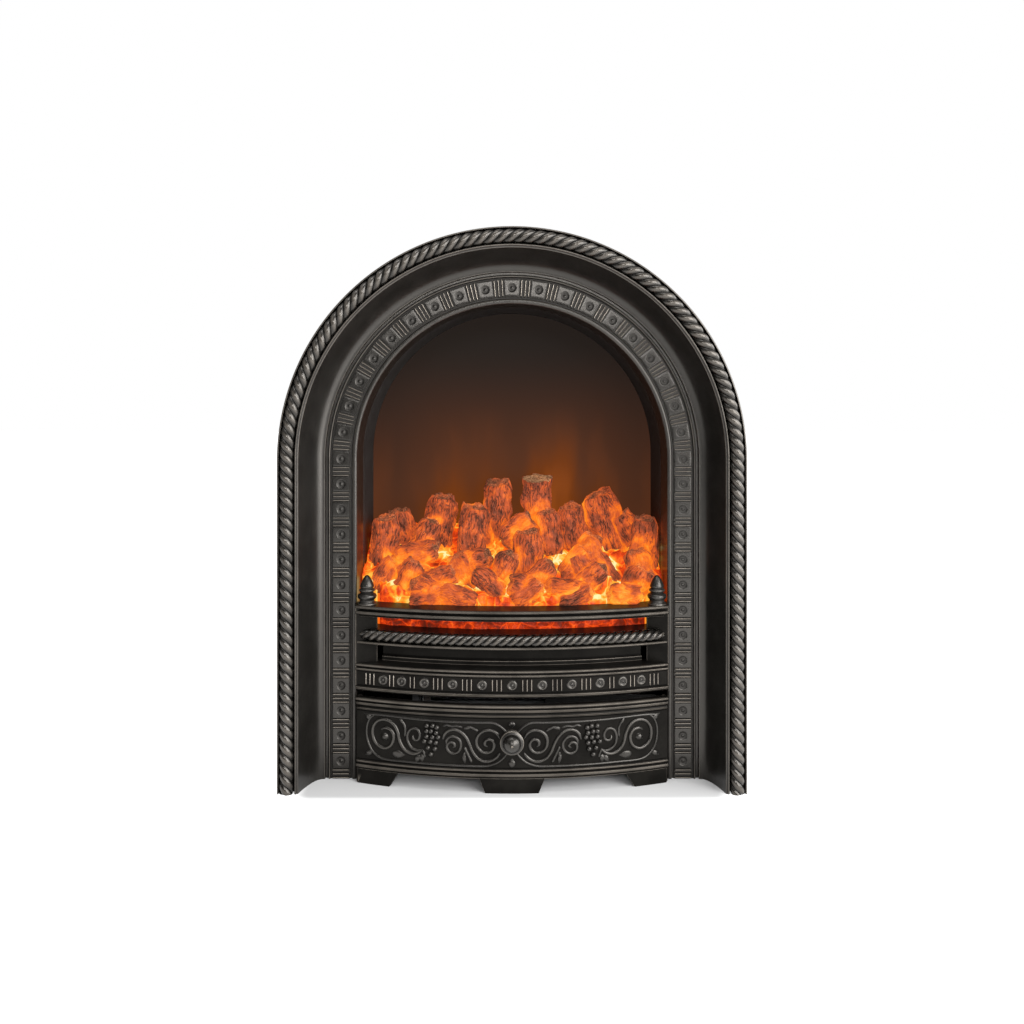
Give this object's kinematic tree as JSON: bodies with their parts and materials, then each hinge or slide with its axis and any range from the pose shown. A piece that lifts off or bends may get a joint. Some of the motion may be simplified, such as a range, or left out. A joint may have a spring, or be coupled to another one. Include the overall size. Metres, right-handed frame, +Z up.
{
  "type": "electric fireplace insert",
  "caption": "Arched cast electric fireplace insert with rope moulding, studded band, bowed grate front over glowing embers and logs, and a decorated lift-off cover with a knob.",
  "frame": {"origin": "on the hearth, at the middle of the insert's width and depth", "axes": "+X to the right seen from the room, +Y back into the chimney breast, +Z up"},
  "size_m": [0.505, 0.2416, 0.6098],
  "materials": {
    "outer_arch": "satin black with worn highlights",
    "inner_arch": "satin black with worn highlights",
    "rope_moulding": "satin black with worn highlights",
    "stud_band": "satin black with worn highlights",
    "fret": "satin black with worn highlights",
    "rail_rope": "satin black with worn highlights",
    "finial_left": "satin black with worn highlights",
    "finial_right": "satin black with worn highlights",
    "ashpan_cover": "satin black with worn highlights",
    "cover_knob": "satin black with worn highlights",
    "knob_nut": "zinc plated",
    "case_shell": "matt black",
    "case_front": "matt black",
    "case_base": "matt black",
    "rear_cover": "matt black",
    "cable_gland": "matt",
    "chamber_liner": "matt black",
    "flame_screen": "translucent",
    "flame_mask": "bright",
    "deck": "matt black",
    "air_deflector": "matt black",
    "fuel_bed": "translucent embers",
    "spinner": "bright",
    "spinner_bracket": "zinc plated",
    "spinner_motor": "zinc plated",
    "flame_led_board": "green board",
    "ember_led_board": "green board",
    "heater_duct": "zinc plated",
    "fan_impeller": "mill",
    "fan_motor": "laminated",
    "heating_coil": "oxidised",
    "thermal_cutout": "black",
    "control_panel": "matt black",
    "control_dial": "black",
    "terminal_block": "white",
    "rubber_foot_1": "matt",
    "rubber_foot_2": "matt",
    "rubber_foot_3": "matt",
    "rubber_foot_4": "matt",
    "log_tall": "charred bark",
    "log_back_left": "charred bark",
    "log_left": "charred bark",
    "log_right": "charred bark",
    "log_centre": "charred bark",
    "log_far_right": "charred bark",
    "log_far_left": "charred bark",
    "log_front": "charred bark",
    "rocker_1": "black",
    "rocker_2": "black",
    "rocker_3": "black",
    "frame_screw_1": "black",
    "rear_screw_1": "black",
    "frame_screw_2": "black",
    "rear_screw_2": "black",
    "frame_screw_3": "black",
    "rear_screw_3": "black",
    "frame_screw_4": "black",
    "rear_screw_4": "black",
    "fret_screw_left": "black",
    "fret_screw_right": "black"
  },
  "bodies": {
    "insert": {"outer_arch": "outer_arch", "inner_arch": "inner_arch", "rope_moulding": "rope_moulding", "stud_band": "stud_band", "fret": "fret", "rail_rope": "rail_rope", "finial_left": "finial_left", "finial_right": "finial_right", "case_shell": "case_shell", "case_front": "case_front", "case_base": "case_base", "rear_cover": "rear_cover", "cable_gland": "cable_gland", "chamber_liner": "chamber_liner", "flame_screen": "flame_screen", "flame_mask": "flame_mask", "deck": "deck", "air_deflector": "air_deflector", "fuel_bed": "fuel_bed", "spinner_bracket": "spinner_bracket", "spinner_motor": "spinner_motor", "flame_led_board": "flame_led_board", "ember_led_board": "ember_led_board", "heater_duct": "heater_duct", "fan_motor": "fan_motor", "heating_coil": "heating_coil", "thermal_cutout": "thermal_cutout", "control_panel": "control_panel", "terminal_block": "terminal_block", "rubber_foot_1": "rubber_foot_1", "rubber_foot_2": "rubber_foot_2", "rubber_foot_3": "rubber_foot_3", "rubber_foot_4": "rubber_foot_4", "log_tall": "log_tall", "log_back_left": "log_back_left", "log_left": "log_left", "log_right": "log_right", "log_centre": "log_centre", "log_far_right": "log_far_right", "log_far_left": "log_far_left", "log_front": "log_front", "frame_screw_1": "frame_screw_1", "rear_screw_1": "rear_screw_1", "frame_screw_2": "frame_screw_2", "rear_screw_2": "rear_screw_2", "frame_screw_3": "frame_screw_3", "rear_screw_3": "rear_screw_3", "frame_screw_4": "frame_screw_4", "rear_screw_4": "rear_screw_4", "fret_screw_left": "fret_screw_left", "fret_screw_right": "fret_screw_right"},
    "cover": {"ashpan_cover": "ashpan_cover", "cover_knob": "cover_knob", "knob_nut": "knob_nut"},
    "switch_1": {"rocker_1": "rocker_1"},
    "switch_2": {"rocker_2": "rocker_2"},
    "switch_3": {"rocker_3": "rocker_3"},
    "dial": {"control_dial": "control_dial"},
    "impeller": {"fan_impeller": "fan_impeller"},
    "flame_spinner": {"spinner": "spinner"}
  },
  "joints": [
    {"name": "cover_slide", "type": "slide", "parent": "insert", "child": "cover", "axis": [0, -1, 0], "range_m": [0, 0.08]},
    {"name": "rocker_1_tilt", "type": "hinge", "parent": "insert", "child": "switch_1", "pos_m": [0.056, -0.03255, 0.062], "axis": [1, 0, 0], "range_deg": [-10, 0]},
    {"name": "rocker_2_tilt", "type": "hinge", "parent": "insert", "child": "switch_2", "pos_m": [0.076, -0.03255, 0.062], "axis": [1, 0, 0], "range_deg": [-10, 0]},
    {"name": "rocker_3_tilt", "type": "hinge", "parent": "insert", "child": "switch_3", "pos_m": [0.096, -0.03255, 0.062], "axis": [1, 0, 0], "range_deg": [-10, 0]},
    {"name": "dial_turn", "type": "hinge", "parent": "insert", "child": "dial", "pos_m": [0.132, -0.03255, 0.062], "axis": [0, 1, 0], "range_deg": [-135, 135]},
    {"name": "impeller_spin", "type": "hinge", "parent": "insert", "child": "impeller", "pos_m": [0, 0.0387, 0.056], "axis": [1, 0, 0], "continuous": true},
    {"name": "spinner_spin", "type": "hinge", "parent": "insert", "child": "flame_spinner", "pos_m": [0, 0.0992, 0.185], "axis": [1, 0, 0], "continuous": true}
  ]
}
